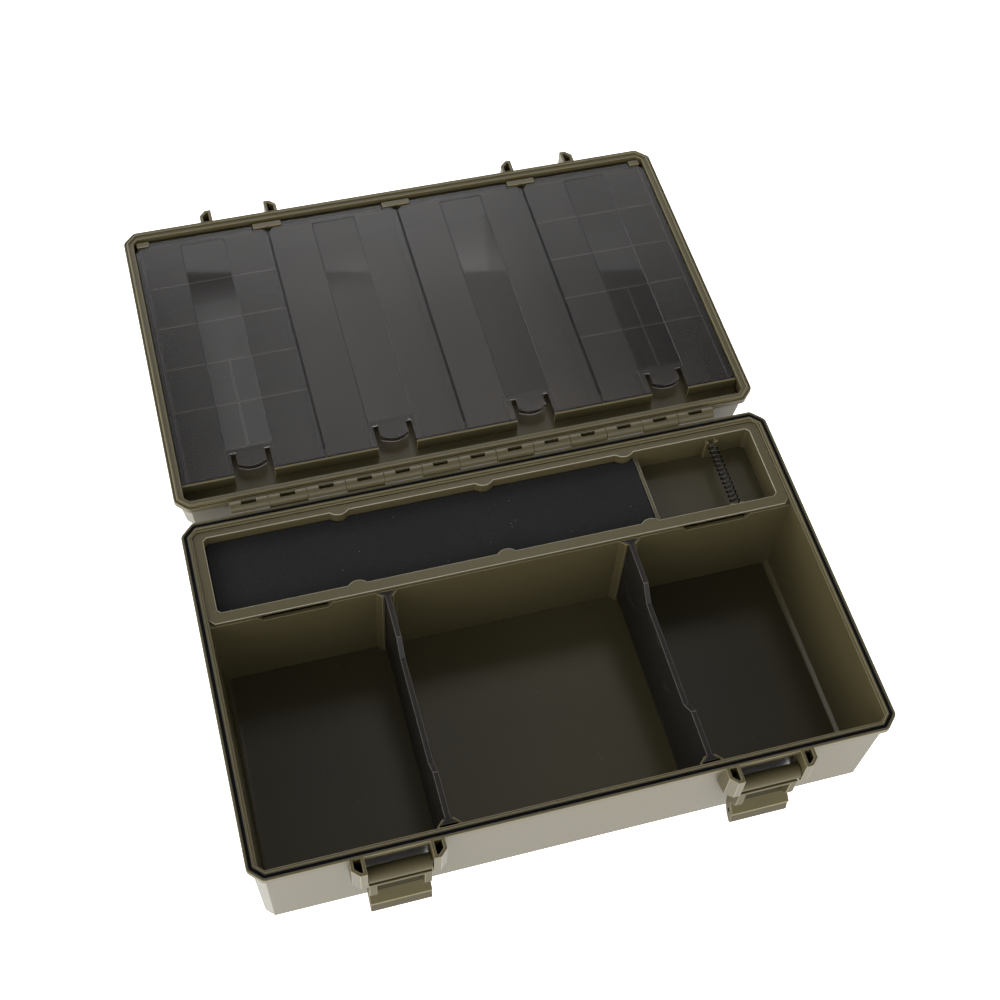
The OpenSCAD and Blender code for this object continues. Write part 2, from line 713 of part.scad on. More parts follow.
// Least distance between wire centres at least half a curl apart, less the wire
spring_gap = min([for (i = [0 : len(spring_path) - 1],
    j = [i + rings_per_curl / 2 : 1 : len(spring_path) - 1])
        norm(spring_path[i] - spring_path[j])]) - wire_d;
echo(spring_gap = spring_gap);

module rig_spring() color(black) {
    n = len(spring_rings);
    polyhedron(
        points = [for (r = spring_rings, p = r) p],
        faces = concat(
            [for (k = [1 : ring_sides - 2]) [0, k, k + 1]],
            [for (i = [0 : n - 2], k = [0 : ring_sides - 1], half = [0, 1])
                let (a = i * ring_sides + k, b = i * ring_sides + (k + 1) % ring_sides)
                half == 0 ? [a, a + ring_sides, b + ring_sides]
                          : [a, b + ring_sides, b]],
            [for (k = [1 : ring_sides - 2])
                [(n - 1) * ring_sides, (n - 1) * ring_sides + k + 1,
                 (n - 1) * ring_sides + k]]));
}

// Plan of a divider: a plate with a dovetail foot at each end
module divider_plan() {
    neck = divider_t / 2;
    wide = neck + slot_spread * (1 - 0.4 / rib_len);
    polygon([[-wide, divider_y0], [wide, divider_y0], [neck, divider_y0 + rib_len - 0.4],
        [neck, divider_y1 - rib_len + 0.4], [wide, divider_y1], [-wide, divider_y1],
        [-neck, divider_y1 - rib_len + 0.4], [-neck, divider_y0 + rib_len - 0.4]]);
}

module divider(side) color(black) translate([side * divider_x, 0, 0]) intersection() {
    translate([0, 0, floor_t + 0.3])
        linear_extrude(divider_z1 - floor_t) divider_plan();
    across(20) polygon([[divider_y0, floor_t + 3.5], [divider_y0 + 3.5, floor_t],
        [divider_y1, floor_t],
        [divider_y1, divider_z1], [divider_y1 - divider_shoulder, divider_z1],
        [divider_y1 - divider_shoulder - divider_drop, divider_z1 - divider_drop],
        [divider_y0 + divider_shoulder + divider_drop, divider_z1 - divider_drop],
        [divider_y0 + divider_shoulder, divider_z1], [divider_y0, divider_z1]]);
}

module divider_left() divider(-1);
module divider_right() divider(1);

base_shell();
base_seal();
hinge_pin();
lid_shell();
lid_insert();
finger_shelf();
cell_grid_left();
cell_grid_right();
cover_1();
cover_2();
cover_3();
cover_4();
latch_left();
latch_right();
latch_pin_left();
latch_pin_right();
rig_tray();
foam_board();
rig_spring();
divider_left();
divider_right();
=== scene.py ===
"""Looks of an open, hinged tackle box: moulded olive plastic, smoked covers, black seal,
foam and spring. Everything is in metres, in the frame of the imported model."""
import json
import math

import bmesh
import bpy
from mathutils import Matrix, Vector


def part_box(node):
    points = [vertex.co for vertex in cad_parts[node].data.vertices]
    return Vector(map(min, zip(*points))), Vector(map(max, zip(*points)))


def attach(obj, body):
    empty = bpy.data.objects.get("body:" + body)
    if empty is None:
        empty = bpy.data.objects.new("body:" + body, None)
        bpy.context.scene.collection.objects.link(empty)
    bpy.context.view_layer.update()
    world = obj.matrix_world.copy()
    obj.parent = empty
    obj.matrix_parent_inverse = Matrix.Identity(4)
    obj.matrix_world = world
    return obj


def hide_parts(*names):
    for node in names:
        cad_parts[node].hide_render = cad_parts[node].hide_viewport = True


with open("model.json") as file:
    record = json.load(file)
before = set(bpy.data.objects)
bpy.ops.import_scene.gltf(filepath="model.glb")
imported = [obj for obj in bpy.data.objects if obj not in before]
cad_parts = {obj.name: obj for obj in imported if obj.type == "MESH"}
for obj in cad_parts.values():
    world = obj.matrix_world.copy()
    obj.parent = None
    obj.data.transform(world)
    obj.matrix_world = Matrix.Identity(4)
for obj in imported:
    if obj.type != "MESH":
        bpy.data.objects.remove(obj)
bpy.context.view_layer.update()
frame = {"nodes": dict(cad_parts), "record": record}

MM = 0.001
BODY_OF = {n: b for b, nodes in frame["record"]["behaviour"]["bodies"].items() for n in nodes}
SLOT_OF = {s["node"]: s["material_slot"] for s in frame["record"]["subparts"]}

ON_PLANE = 0.05 * MM                               # nearer than this lies on a plane
TINY = 0.001 * MM                                  # merging this close changes no shape
LEVEL = 0.99                                       # least normal.z of a level face
NEARLY_LEVEL = 0.97

# ---- places on the box -------------------------------------------------

RIM_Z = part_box("base_seal")[1][2] + 0.8 * MM       # plane where base and lid meet
RIM_HALF_X = 180 * MM
RIM_HALF_Y = 110.3 * MM
CORNER_CUT = 7.5 * MM
RIM_EDGE_Z = 71.5 * MM                             # edges above this belong to the rims
BASE_BACK = 109.6 * MM                             # the base's knuckles start here
LID_NEAR = 120.6 * MM                              # the lid's knuckles end here
GROOVE_NEAR = 1.2 * MM                             # the seal's groove, inwards of the
GROOVE_FAR = 3.8 * MM                              # rim's outline
GROOVE_FOOT_Z = 69.4 * MM

ROOM_X = 174 * MM                                  # inner half width of base and lid
ROOM_Y = 105 * MM                                  # inner half depth of base and lid
ROOM_TOP_Z = 71 * MM
BASE_ROOM_FOOT_Z = 2.5 * MM
LID_ROOM_FOOT_Z = 45 * MM
LID_CENTRE_Y = 230 * MM
FLOOR_Z = 3 * MM
FLOOR_RADIUS = 2.8 * MM
FLOOR_TOP_Z = 6 * MM                               # floors and their radii lie below this
END_WALL_X = 165 * MM                              # the end walls' feet lie beyond this
TRAY_FLOOR_TOP_Z = 60 * MM                         # the tray's floor lies below this
DIVIDER_X = (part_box("divider_right")[0][0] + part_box("divider_right")[1][0]) / 2

BAY = 87 * MM                                      # width of one cover and one gap
COVER_TOP = 70 * MM
STRIP_HALF = 14.15 * MM                            # half width of the smooth channel
STRIP_NEAR = 157.5 * MM
STRIP_FAR = 325 * MM
STRIP_DEPTH = 0.45 * MM
TAB_HALF = 11.5 * MM                               # half width of a cover's spring tab
TAB_END = 165 * MM

LATCH_X = (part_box("latch_right")[0][0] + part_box("latch_right")[1][0]) / 2
LATCH_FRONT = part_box("latch_right")[0][1] + 1.4 * MM
LATCH_PLATE_TOP = 50 * MM
WINDOW_HALF = 12.8 * MM                            # half width of a latch's window
RIDGE_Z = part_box("latch_right")[0][2] + 11.6 * MM  # top of the latch's ridge
RIDGE_RISE = 0.9 * MM
SILL_Z = RIDGE_Z + 4.3 * MM
SILL_BACK = 4.8 * MM                               # how far the sill runs inwards
RAIL_Z = SILL_Z + 7.3 * MM

SPRING_X = (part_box("rig_spring")[0][0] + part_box("rig_spring")[1][0]) / 2
SPRING_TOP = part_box("rig_spring")[1][2] + 2 * MM

# ---- camera ------------------------------------------------------------

CAMERA_TARGET = Vector((5.3 * MM, 83.9 * MM, RIM_Z))
CAMERA_AZIMUTH = math.radians(19.413)
CAMERA_ELEVATION = math.radians(56.845)
CAMERA_ROLL = math.radians(4.85)
CAMERA_DISTANCE = 0.94097
CAMERA_LENS = 57.47


def make_camera():
    data = bpy.data.cameras.new("studio_camera")
    data.lens = CAMERA_LENS
    data.sensor_width = 36.0
    data.clip_start = 0.01
    camera = bpy.data.objects.new("studio_camera", data)
    bpy.context.collection.objects.link(camera)
    turn = (Matrix.Rotation(-CAMERA_AZIMUTH, 4, "Z")
            @ Matrix.Rotation(math.pi / 2 - CAMERA_ELEVATION, 4, "X")
            @ Matrix.Rotation(CAMERA_ROLL, 4, "Z"))
    back = turn @ Vector((0, 0, CAMERA_DISTANCE))
    camera.matrix_world = Matrix.Translation(CAMERA_TARGET + back) @ turn
    bpy.context.scene.camera = camera


# ---- node helpers ------------------------------------------------------

def wire(tree, value, target):
    """Links a socket to target, or sets a plain value on it."""
    if isinstance(value, bpy.types.NodeSocket):
        tree.links.new(value, target)
    else:
        target.default_value = value


def maths(tree, operation, *values):
    n = tree.nodes.new("ShaderNodeMath")
    n.operation = operation
    for value, target in zip(values, n.inputs):
        wire(tree, value, target)
    return n.outputs[0]


def product(tree, first, *others):
    for other in others:
        first = maths(tree, "MULTIPLY", first, other)
    return first


def remap(tree, value, low, high, to_low=0.0, to_high=1.0, smooth=False):
    """Takes low..high to to_low..to_high, and holds the end values outside."""
    n = tree.nodes.new("ShaderNodeMapRange")
    n.interpolation_type = "SMOOTHSTEP" if smooth else "LINEAR"
    for value, target in zip((value, low, high, to_low, to_high), n.inputs):
        wire(tree, value, target)
    return n.outputs[0]


def around_middle(tree, value, swing, middle=0.0):
    """Takes a noise of 0..1 to middle - swing..middle + swing."""
    return remap(tree, value, 0.0, 1.0, middle - swing, middle + swing)


def between(tree, value, rise, fall):
    """A soft window: rises over the first pair of values and falls over the second."""
    return product(tree, remap(tree, value, *rise, smooth=True),
                   remap(tree, value, *reversed(fall), smooth=True))


def stretched(tree, vector, factors):
    n = tree.nodes.new("ShaderNodeVectorMath")
    n.operation = "MULTIPLY"
    wire(tree, vector, n.inputs[0])
    n.inputs[1].default_value = factors
    return n.outputs[0]


def scaled(tree, color, factor):
    n = tree.nodes.new("ShaderNodeVectorMath")
    n.operation = "SCALE"
    wire(tree, color, n.inputs[0])
    wire(tree, factor, n.inputs["Scale"])
    return n.outputs[0]


def mixed(tree, factor, first, second):
    """Mixes two colours."""
    n = tree.nodes.new("ShaderNodeMix")
    n.data_type = "RGBA"
    wire(tree, factor, n.inputs[0])
    wire(tree, first, n.inputs[6])
    wire(tree, second, n.inputs[7])
    return n.outputs[2]


def mixed_level(tree, factor, first, second):
    """Mixes two plain numbers."""
    n = tree.nodes.new("ShaderNodeMix")
    wire(tree, factor, n.inputs[0])
    wire(tree, first, n.inputs[2])
    wire(tree, second, n.inputs[3])
    return n.outputs[0]


def noise(tree, vector, scale, detail=2.0, roughness=0.5):
    n = tree.nodes.new("ShaderNodeTexNoise")
    wire(tree, vector, n.inputs["Vector"])
    n.inputs["Scale"].default_value = scale
    n.inputs["Detail"].default_value = detail
    n.inputs["Roughness"].default_value = roughness
    return n.outputs["Fac"]


def cells(tree, vector, scale):
    """Distance to the nearest cell centre, and a random value of that cell."""
    n = tree.nodes.new("ShaderNodeTexVoronoi")
    wire(tree, vector, n.inputs["Vector"])
    n.inputs["Scale"].default_value = scale
    split = tree.nodes.new("ShaderNodeSeparateColor")
    tree.links.new(n.outputs["Color"], split.inputs[0])
    return n.outputs["Distance"], split.outputs[0]


def new_group(name, inputs, outputs):
    """A shader group with typed sockets; returns its tree, its inputs and its end."""
    g = bpy.data.node_groups.new(name, "ShaderNodeTree")
    kinds = {"Vector": "NodeSocketVector", "Color": "NodeSocketColor"}
    for title, value in inputs:
        s = g.interface.new_socket(name=title, in_out="INPUT",
                                   socket_type=kinds.get(title, "NodeSocketFloat"))
        if value is not None:
            s.default_value = value
    for title in outputs:
        g.interface.new_socket(name=title, in_out="OUTPUT",
                               socket_type=kinds.get(title, "NodeSocketFloat"))
    return g, g.nodes.new("NodeGroupInput").outputs, g.nodes.new("NodeGroupOutput").inputs


def use_group(tree, group, **values):
    n = tree.nodes.new("ShaderNodeGroup")
    n.node_tree = group
    for title, value in values.items():
        wire(tree, value, n.inputs[title])
    return n.outputs


# ---- finishes ----------------------------------------------------------
# The scales of noises and cells are counts per metre.

DUST_TONE = (0.42, 0.40, 0.36, 1)
SCRATCH_TONE = (0.3, 0.3, 0.3, 1)
# pale grey of the strongest painted edge highlights
PALE_HIGHLIGHT_TONE = (0.62, 0.60, 0.54, 1)
LINT_TONE = (0.9, 0.9, 0.9, 1)
FOAM_LINT_TONE = (0.35, 0.34, 0.33, 1)
# painted shade on the covers' sides and along the gaps between them
PAINTED_SHADE_TONE = (0.01, 0.01, 0.01, 1)


def make_dust_specks():
    """Sparse pale specks, as dust and lint on a dark surface."""
    g, given, out = new_group("dust_specks", [("Vector", None), ("Share", 0.05)], ["Mask"])
    near, chance = cells(g, given["Vector"], 330.0)
    spot = remap(g, near, 0.12, 0.05)
    rare = maths(g, "LESS_THAN", chance, given["Share"])
    wire(g, product(g, spot, rare), out["Mask"])
    return g


def make_handling_marks():
    """Hairline scratches in two directions, as use leaves them on plastic."""
    g, given, out = new_group("handling_marks", [("Vector", None)], ["Mask"])
    bend = g.nodes.new("ShaderNodeVectorMath")
    bend.operation = "MULTIPLY_ADD"
    wire(g, noise(g, given["Vector"], 9.0, detail=1.0), bend.inputs[0])
    bend.inputs[1].default_value = (0.01, 0.02, 0.015)
    wire(g, given["Vector"], bend.inputs[2])
    slant = g.nodes.new("ShaderNodeVectorRotate")
    slant.rotation_type = "EULER_XYZ"
    slant.inputs["Rotation"].default_value = (0.5, 0.3, 0.9)
    wire(g, bend.outputs[0], slant.inputs["Vector"])
    along = noise(g, stretched(g, bend.outputs[0], (3600, 13, 120)), 1.0, detail=0.0)
    across = noise(g, stretched(g, slant.outputs[0], (15, 3900, 130)), 1.0, detail=0.0)
    wire(g, maths(g, "MAXIMUM", remap(g, along, 0.72, 0.80), remap(g, across, 0.73, 0.80)),
         out["Mask"])
    return g


def make_gap_lines():
    """A mask along the narrow gaps between covers, which stay in deep shade."""
    g, given, out = new_group("gap_lines", [("Vector", None), ("Near", 1.0 * MM),
                                            ("Far", 1.4 * MM)], ["Mask"])
    axis = g.nodes.new("ShaderNodeSeparateXYZ")
    wire(g, given["Vector"], axis.inputs[0])
    apart = maths(g, "PINGPONG", axis.outputs["X"], BAY / 2)
    wire(g, product(g, remap(g, apart, given["Far"], given["Near"]),
                    remap(g, axis.outputs["Y"], 146 * MM, 147 * MM),
                    remap(g, axis.outputs["Y"], 329 * MM, 328 * MM),
                    remap(g, axis.outputs["Z"], 62 * MM, 64 * MM)), out["Mask"])
    return g


def make_mould_skin():
    """Moulded plastic: flow tone, mottling, fine spark grain, dust and scratches.

    Edge up to 1 is a painted highlight in an edge's own colour, and above 1 a paler grey one.
    Polish flattens the grain. Shade deepens the tone as painted shade, and where it is
    negative lifts it as painted light."""
    g, given, out = new_group(
        "mould_skin",
        [("Vector", None), ("Color", (0.1, 0.1, 0.1, 1)), ("Roughness", 0.4), ("Tone", 0.05),
         ("Dust", 0.03), ("Edge", 0.0), ("Polish", 0.0), ("Shade", 0.0), ("Wear", 0.35),
         ("Scuff", 0.0)],
        ["Color", "Roughness", "Height"])
    place = given["Vector"]
    flow = around_middle(g, noise(g, place, 9.0, detail=1.0, roughness=0.45), 1.5)
    mottle = noise(g, place, 170.0)
    grain = noise(g, place, 1500.0)
    specks = use_group(g, DUST_SPECKS, Vector=place, Share=given["Dust"])["Mask"]
    marks = use_group(g, HANDLING_MARKS, Vector=place)["Mask"]
    # painted highlight on the rounded edges: in their own colour up to 1, paler grey above
    edge_highlight = maths(g, "MINIMUM", given["Edge"], 1.0)
    grey_highlight = maths(g, "SUBTRACT", given["Edge"], edge_highlight)

    level = maths(g, "MULTIPLY_ADD", flow, given["Tone"], 1.0)
    level = maths(g, "ADD", level, around_middle(g, mottle, 0.05))
    level = maths(g, "MULTIPLY_ADD", edge_highlight, given["Wear"], level)
    # painted shade from the Shade mask, and painted light where it is negative
    level = product(g, level, maths(g, "MULTIPLY_ADD", given["Shade"], -0.9, 1.0))
    tone = scaled(g, given["Color"], level)
    tone = mixed(g, product(g, grey_highlight, 0.2), tone, PALE_HIGHLIGHT_TONE)
    tone = mixed(g, product(g, marks, given["Scuff"]), tone, SCRATCH_TONE)
    wire(g, mixed(g, product(g, specks, 0.5), tone, DUST_TONE), out["Color"])

    dull = maths(g, "MULTIPLY_ADD", flow, 0.02, given["Roughness"])
    dull = maths(g, "MULTIPLY_ADD", given["Polish"], -0.12, dull)
    gloss = maths(g, "MINIMUM", given["Edge"], 3.0)
    wire(g, maths(g, "MULTIPLY_ADD", gloss, -0.06, dull), out["Roughness"])

    fine = product(g, grain, maths(g, "MULTIPLY_ADD", given["Polish"], -0.75, 1.0))
    wire(g, maths(g, "MULTIPLY_ADD", mottle, 0.35, fine), out["Height"])
    return g


def make_smoked_film():
    """Clear smoked moulding: slow ripples, a speck of lint, painted shade on its sides and
    gaps.
    """
    g, given, out = new_group(
        "smoked_film",
        [("Vector", None), ("Color", (0.3, 0.3, 0.3, 1)), ("Roughness", 0.2),
         ("Edge", 0.0), ("Polish", 0.0)],
        ["Color", "Roughness", "Height"])
    place = given["Vector"]
    flow = noise(g, stretched(g, place, (22, 9, 9)), 1.0, detail=1.0, roughness=0.4)
    grain = noise(g, place, 1300.0, detail=1.0)
    lint = use_group(g, DUST_SPECKS, Vector=place, Share=0.004)["Mask"]
    line = use_group(g, GAP_LINES, Vector=place, Near=0.6 * MM, Far=0.85 * MM)["Mask"]

    tone = scaled(g, given["Color"], around_middle(g, flow, 0.08, middle=1.0))
    dark = maths(g, "MAXIMUM", product(g, given["Edge"], 0.93), line)
    tone = mixed(g, dark, tone, PAINTED_SHADE_TONE)
    wire(g, mixed(g, product(g, lint, 0.6), tone, LINT_TONE), out["Color"])

    satin = maths(g, "ADD", given["Roughness"], around_middle(g, flow, 0.03))
    clear = around_middle(g, flow, 0.01, middle=0.03)
    wire(g, mixed_level(g, given["Polish"], satin, clear), out["Roughness"])
    grained = maths(g, "MULTIPLY_ADD", given["Polish"], -1.0, 1.0)
    wire(g, product(g, grain, grained), out["Height"])
    return g


def make_foam_cells():
    """Cut closed-cell foam: small open cells, soft shade changes, lint caught in them."""
    g, given, out = new_group(
        "foam_cells", [("Vector", None), ("Color", (0.02, 0.02, 0.02, 1)), ("Roughness", 0.8)],
        ["Color", "Roughness", "Height"])
    place = given["Vector"]
    near, chance = cells(g, place, 1150.0)
    wide, _ = cells(g, place, 420.0)
    cloud = noise(g, place, 22.0, detail=3.0)
    lint = use_group(g, DUST_SPECKS, Vector=place, Share=0.06)["Mask"]
    level = product(g, remap(g, near, 0.0, 0.75, 0.85, 1.15),
                    remap(g, cloud, 0.2, 0.8, 0.92, 1.08),
                    around_middle(g, chance, 0.08, middle=1.0))
    tone = scaled(g, given["Color"], level)
    wire(g, mixed(g, product(g, lint, 0.45), tone, FOAM_LINT_TONE), out["Color"])
    wire(g, maths(g, "ADD", given["Roughness"], remap(g, near, 0.0, 0.7, -0.05, 0.05)),
         out["Roughness"])
    wire(g, maths(g, "MULTIPLY_ADD", wide, 0.5, near), out["Height"])
    return g


def make_drawn_metal():
    """Drawn wire and rod: fine lines along it and slight dulling."""
    g, given, out = new_group(
        "drawn_metal", [("Vector", None), ("Color", (0.5, 0.5, 0.5, 1)), ("Roughness", 0.3)],
        ["Color", "Roughness", "Height"])
    lines = noise(g, stretched(g, given["Vector"], (30, 4200, 4200)), 1.0)
    dull = noise(g, given["Vector"], 90.0, detail=3.0)
    wire(g, scaled(g, given["Color"], remap(g, dull, 0.3, 0.7, 0.75, 1.15)), out["Color"])
    wire(g, maths(g, "ADD", given["Roughness"], remap(g, dull, 0.3, 0.7, -0.06, 0.1)),
         out["Roughness"])
    wire(g, lines, out["Height"])
    return g


BUMP_DEPTH = 0.2 * MM


def make_material(name, group, color, roughness, bump=0.05, masks=(), shader_values=None,
                  under_covers=False, **group_values):
    """A material whose colour, roughness and bump come from a finish group.

    masks names the face attributes that feed the group's inputs of the same name."""
    m = bpy.data.materials.new(name)
    m.use_nodes = True
    t = m.node_tree
    shader = t.nodes["Principled BSDF"]
    place = t.nodes.new("ShaderNodeTexCoord").outputs["Object"]
    for mask in masks:
        read = t.nodes.new("ShaderNodeAttribute")
        read.attribute_name = mask
        group_values[mask.capitalize()] = read.outputs["Fac"]
    # painted shade on the insert along the gaps between the covers
    if under_covers:
        lines = use_group(t, GAP_LINES, Vector=place)["Mask"]
        group_values["Shade"] = maths(t, "MAXIMUM", group_values["Shade"], lines)
    finish = use_group(t, group, Vector=place, Color=(*color, 1), Roughness=roughness,
                       **group_values)
    bumped = t.nodes.new("ShaderNodeBump")
    bumped.inputs["Strength"].default_value = bump
    bumped.inputs["Distance"].default_value = BUMP_DEPTH
    wire(t, finish["Color"], shader.inputs["Base Color"])
    wire(t, finish["Roughness"], shader.inputs["Roughness"])
    wire(t, finish["Height"], bumped.inputs["Height"])
    wire(t, bumped.outputs["Normal"], shader.inputs["Normal"])
    for title, value in (shader_values or {}).items():
        shader.inputs[title].default_value = value
    m.diffuse_color = (*color, 1)
    return m


# ---- mesh helpers ------------------------------------------------------

LEAST_EDGE = math.radians(28)                      # turns below this stay as they are
FLAT_BLEND = math.radians(24)                      # wide faces share shading up to here
ROUND_BLEND = math.radians(50)                     # and the small radii up to here


def merged_copy(name):
    """A bmesh of a CAD node with its loose triangles joined into flat faces."""
    bm = bmesh.new()
    bm.from_mesh(frame["nodes"][name].data)
    bmesh.ops.remove_doubles(bm, verts=bm.verts, dist=0.15 * MM)
    bmesh.ops.dissolve_degenerate(bm, dist=TINY, edges=bm.edges)
    bmesh.ops.dissolve_limit(bm, angle_limit=math.radians(1.0), verts=bm.verts,
                             edges=bm.edges, use_dissolve_boundaries=False)
    return bm


def cut(bm, faces, place, normal):
    """Cuts some faces along a plane."""
    edges = list({e for f in faces for e in f.edges})
    verts = list({v for f in faces for v in f.verts})
    bmesh.ops.bisect_plane(bm, geom=verts + edges + list(faces), dist=TINY,
                           plane_co=place, plane_no=normal)


def level_faces(bm, height):
    """The faces that lie level at a height and face up."""
    return [f for f in bm.faces if f.normal.z > LEVEL
            and abs(f.calc_center_median().z - height) < ON_PLANE]


def middle_x(bm):
    return (min(v.co.x for v in bm.verts) + max(v.co.x for v in bm.verts)) / 2


def refill_odd_faces(bm):
    """Splits each wide face that its own triangles don't cover exactly."""
    covered = {}
    for loops in bm.calc_loop_triangles():
        a, b, c = (l.vert.co for l in loops)
        face = loops[0].face
        covered[face] = covered.get(face, 0) + (b - a).cross(c - a).length / 2
    for face in list(bm.faces):
        error = abs(covered.get(face, 0) - face.calc_area()) / MM ** 2
        if error < 0.05 or (len(face.verts) < 6 and error < 1):
            continue
        normal, edges = face.normal.copy(), list(face.edges)
        bmesh.ops.delete(bm, geom=[face], context="FACES_ONLY")
        bmesh.ops.triangle_fill(bm, use_beauty=True, use_dissolve=False, edges=edges,
                                normal=normal)


def soften_edges(bm, width_at):
    """Rounds the outer edges, width_at(point) millimetres wide, and marks them."""
    weight = bm.edges.layers.float.new("bevel_weight_edge")
    for e in bm.edges:
        if e.is_manifold and e.is_convex and e.calc_face_angle(0) > LEAST_EDGE:
            e[weight] = width_at((e.verts[0].co + e.verts[1].co) / 2)
    mesh = bpy.data.meshes.new("raw_moulding")
    bm.to_mesh(mesh)
    mesh.materials.append(None)
    mesh.materials.append(None)
    raw = bpy.data.objects.new("raw_moulding", mesh)
    bpy.context.collection.objects.link(raw)
    bevel = raw.modifiers.new("soft_edges", "BEVEL")
    bevel.limit_method = "WEIGHT"
    bevel.width = 1 * MM
    bevel.segments = 2
    bevel.use_clamp_overlap = False
    bevel.loop_slide = True
    bevel.offset_type = "OFFSET"
    bevel.material = 1
    graph = bpy.context.evaluated_depsgraph_get()
    rounded = bpy.data.meshes.new_from_object(raw.evaluated_get(graph))
    bm.clear()
    bm.from_mesh(rounded)
    bpy.data.objects.remove(raw)
    bpy.data.meshes.remove(mesh)
    bpy.data.meshes.remove(rounded)
    edge = bm.faces.layers.float.new("edge")
    rounding = bm.faces.layers.float.new("rounding")
    for f in bm.faces:
        f[edge] = f[rounding] = float(f.material_index == 1)
        f.material_index = 0
    refill_odd_faces(bm)


def even_shading(mesh):
    """Corner normals that keep wide faces flat and run smoothly round small radii."""
    rounding = mesh.attributes["rounding"].data
    faces = mesh.polygons
    flat = [(f.normal.copy(), (f.area / MM ** 2) ** 2) for f in faces]
    around = [[] for _ in mesh.vertices]
    for f in faces:
        for v in f.vertices:
            around[v].append(f.index)
    corners = [None] * len(mesh.loops)
    for f in faces:
        own = flat[f.index][0]
        least = math.cos(ROUND_BLEND if rounding[f.index].value else FLAT_BLEND)
        for loop, v in zip(f.loop_indices, f.vertices):
            blend = own * 1e-9
            for other in around[v]:
                normal, weight = flat[other]
                if normal.dot(own) > least:
                    blend += normal * weight
            corners[loop] = blend.normalized()
    mesh.normals_split_custom_set(corners)


def make_piece(name, bm, material, body, slot, replaced=(), **marked):
    """Turns a bmesh into a finished object that rides on a body.

    marked gives face attributes by name, each a function of a face's centre and normal."""
    for title, value_at in marked.items():
        layer = bm.faces.layers.float.new(title)
        for f in bm.faces:
            f[layer] = float(value_at(f.calc_center_bounds(), f.normal))
    mesh = bpy.data.meshes.new(name)
    bm.to_mesh(mesh)
    bm.free()
    mesh.shade_smooth()
    if "rounding" in mesh.attributes:
        even_shading(mesh)
    mesh.materials.append(material)
    piece = bpy.data.objects.new(name, mesh)
    bpy.context.collection.objects.link(piece)
    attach(piece, body)
    if replaced:
        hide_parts(*replaced)
    return piece


def softened(name, material, width, shape=None, finish=None, **marked):
    """A CAD moulding again, with the small radius that its edges have.

    shape works on the sharp mesh and finish on the rounded one."""
    bm = merged_copy(name)
    if shape:
        shape(bm)
    soften_edges(bm, width if callable(width) else lambda point: width)
    if finish:
        finish(bm)
    return make_piece(name + "_moulding", bm, material, BODY_OF[name], SLOT_OF[name],
                      [name], **marked)


def everywhere(point, normal):
    return True


def plain(point, normal):
    return 0.0


# ---- base, lid and their inserts ---------------------------------------

HINGE_WIDTH = 0.08                                 # edge radii in millimetres
FLOOR_SHADES = (0.5, 0.3, 0.6)                     # painted shade of the left, middle and right front room
GRID_HIGHLIGHT = 6                                       # how much stronger than a plain painted edge highlight
TRAY_HIGHLIGHT = 3


def base_width(point):
    """Edge radius of the base: fine at the hinge, widest along the rim."""
    if point.y > BASE_BACK:
        return HINGE_WIDTH
    return 0.4 if point.z > RIM_EDGE_Z else 0.25


def lid_width(point):
    if point.y < LID_NEAR:
        return HINGE_WIDTH
    return 0.35 if point.z > RIM_EDGE_Z else 0.2


def form_floor(bm):
    """One floor face for each room, and a hollow radius at the foot of the end walls."""
    for place in (-DIVIDER_X, DIVIDER_X):
        cut(bm, level_faces(bm, FLOOR_Z), (place, 0, 0), (1, 0, 0))
    foot = [e for e in bm.edges if e.is_manifold and not e.is_convex
            and all(abs(v.co.z - FLOOR_Z) < ON_PLANE for v in e.verts)
            and all(abs(v.co.x) > END_WALL_X for v in e.verts)
            and abs(e.verts[0].co.x - e.verts[1].co.x) < 0.1 * MM
            and e.calc_length() > 20 * MM]
    bmesh.ops.bevel(bm, geom=foot, offset=FLOOR_RADIUS, offset_type="OFFSET",
                    affect="EDGES", segments=4, profile=0.5, clamp_overlap=False,
                    material=-1, loop_slide=True)


def rim_depth(point):
    """Distance inwards from the rim's outline, whose corners are cut."""
    across, along = RIM_HALF_X - abs(point.x), RIM_HALF_Y - abs(point.y)
    return min(across, along, (across + along - CORNER_CUT) / math.sqrt(2))


def base_shade(point, normal):
    """Painted shade on the glossy floors, least in the middle room, and all through the seal's
    groove; painted shade on the left end wall's foot radius and painted light on the right
    one.
    """
    if point.z < FLOOR_TOP_Z and normal.z > 0.2:
        if normal.z > NEARLY_LEVEL:
            left, middle, right = FLOOR_SHADES
            return left if point.x < -DIVIDER_X else middle if point.x < DIVIDER_X else right
        return -0.1 if point.x > END_WALL_X else 0.4
    in_groove = (GROOVE_NEAR < rim_depth(point) < GROOVE_FAR and normal.z < NEARLY_LEVEL
                 and GROOVE_FOOT_Z < point.z < RIM_Z)
    return 1.0 if in_groove else 0.0


def in_room(point, foot, centre_y):
    return (abs(point.x) < ROOM_X + 0.5 * MM and foot < point.z < ROOM_TOP_Z
            and abs(point.y - centre_y) < ROOM_Y)


def in_base_room(point, normal):
    return in_room(point, BASE_ROOM_FOOT_Z, 0)


def in_lid_room(point, normal):
    return in_room(point, LID_ROOM_FOOT_Z, LID_CENTRE_Y)


# painted shade over the whole finger shelf
def shelf_shade(point, normal):
    return 0.2


def highlight_cell_wall_tops(bm):
    """Strong painted highlight on the tops of the thin cell walls."""
    edge = bm.faces.layers.float["edge"]
    for f in bm.faces:
        f[edge] *= GRID_HIGHLIGHT


# ---- rig tray ----------------------------------------------------------

